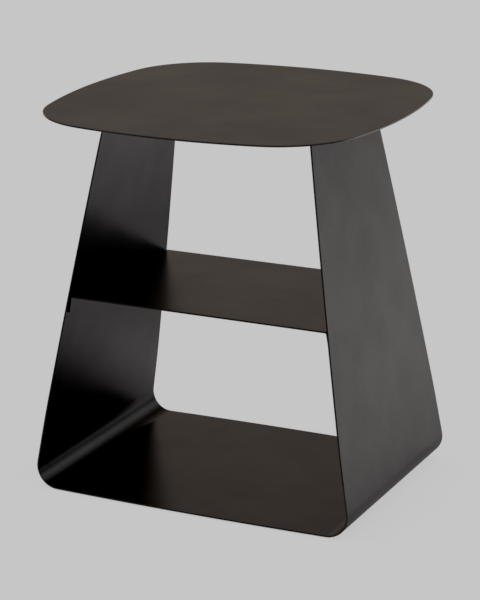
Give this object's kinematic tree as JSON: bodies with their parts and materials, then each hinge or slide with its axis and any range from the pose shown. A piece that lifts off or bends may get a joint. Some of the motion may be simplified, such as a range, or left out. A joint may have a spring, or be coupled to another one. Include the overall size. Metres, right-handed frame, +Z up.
{
  "type": "side table",
  "caption": "Side table of bent sheet steel: rounded-square top, folded base with inward-leaning tapered sides, wide bends and a middle shelf.",
  "frame": {"origin": "on the floor, under the centre of the table", "axes": "+Z up, -Y toward the front, where the shelf is level with the panels' front edges, +X to the right; the side panels stand at -X and +X"},
  "size_m": [0.4, 0.4, 0.45],
  "materials": {
    "coated_steel": "fine satin powder coat, near-black warm brown",
    "zinc_steel": "bright zinc plating",
    "glide_rubber": "matt"
  },
  "bodies": {
    "root": {"top_plate": "coated_steel", "folded_base": "coated_steel", "shelf": "coated_steel", "top_studs": "zinc_steel", "top_washers": "zinc_steel", "top_nuts": "zinc_steel", "shelf_studs": "zinc_steel", "shelf_washers": "zinc_steel", "shelf_nuts": "zinc_steel", "front_left_glide": "glide_rubber", "front_right_glide": "glide_rubber", "back_left_glide": "glide_rubber", "back_right_glide": "glide_rubber"}
  },
  "joints": []
}
